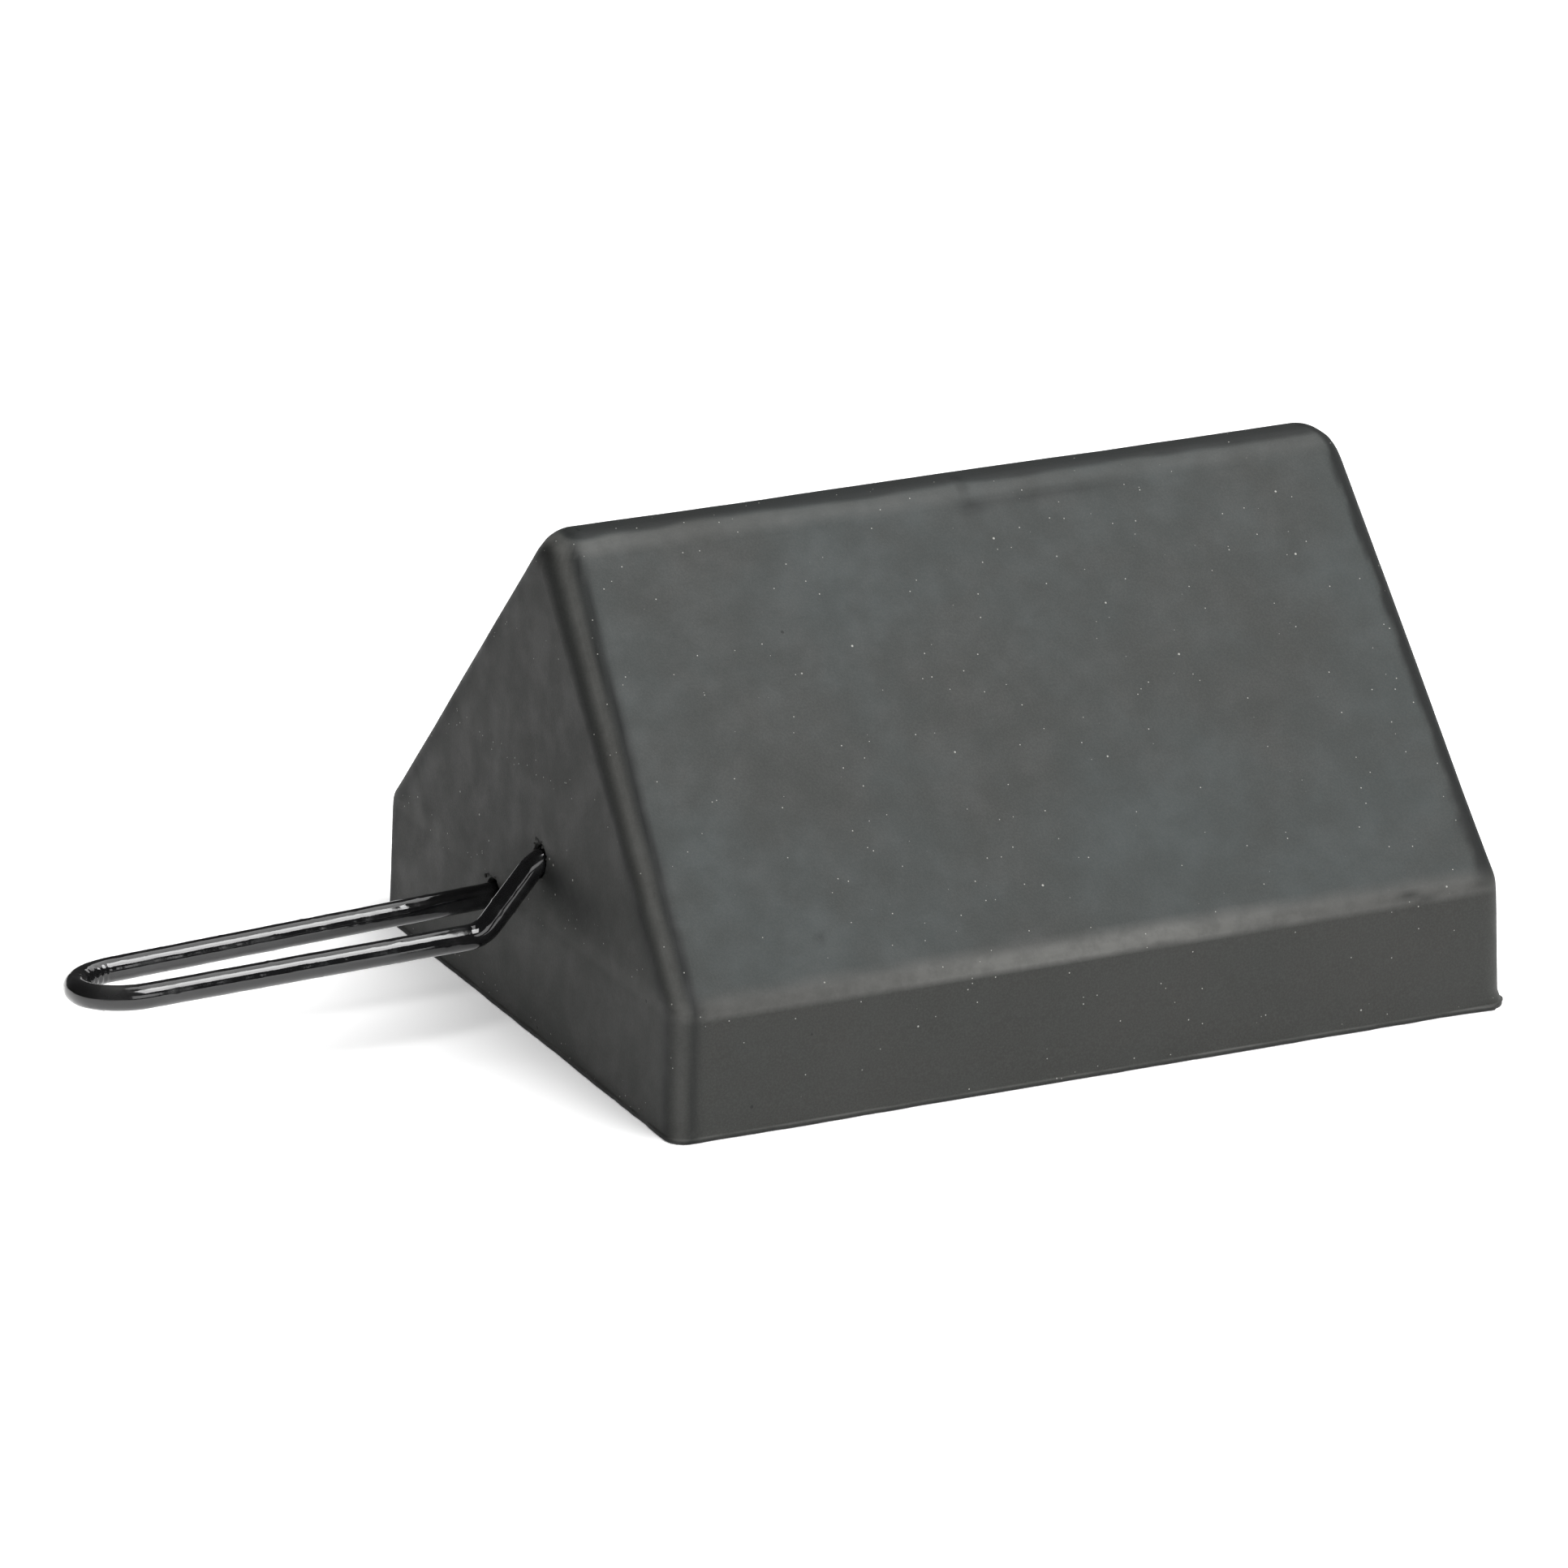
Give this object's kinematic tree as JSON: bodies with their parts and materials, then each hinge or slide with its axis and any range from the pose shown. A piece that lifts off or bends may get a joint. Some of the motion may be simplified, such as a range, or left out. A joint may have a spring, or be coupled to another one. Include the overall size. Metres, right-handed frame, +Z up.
{
  "type": "wheel chock",
  "caption": "Solid rubber block with two steep tyre faces meeting in a rounded ridge, and a bent wire pull handle in one end.",
  "frame": {"origin": "middle of the block's base, on the surface it stands on", "axes": "+X along the ridge, away from the handle; +Y and -Y towards the two tyre faces; +Z up"},
  "size_m": [0.3453, 0.1778, 0.127],
  "materials": {
    "rubber": "matte moulded",
    "coated_wire": "glossy black dip"
  },
  "bodies": {
    "root": {"rubber_block": "rubber", "wire_handle": "coated_wire"}
  },
  "joints": []
}
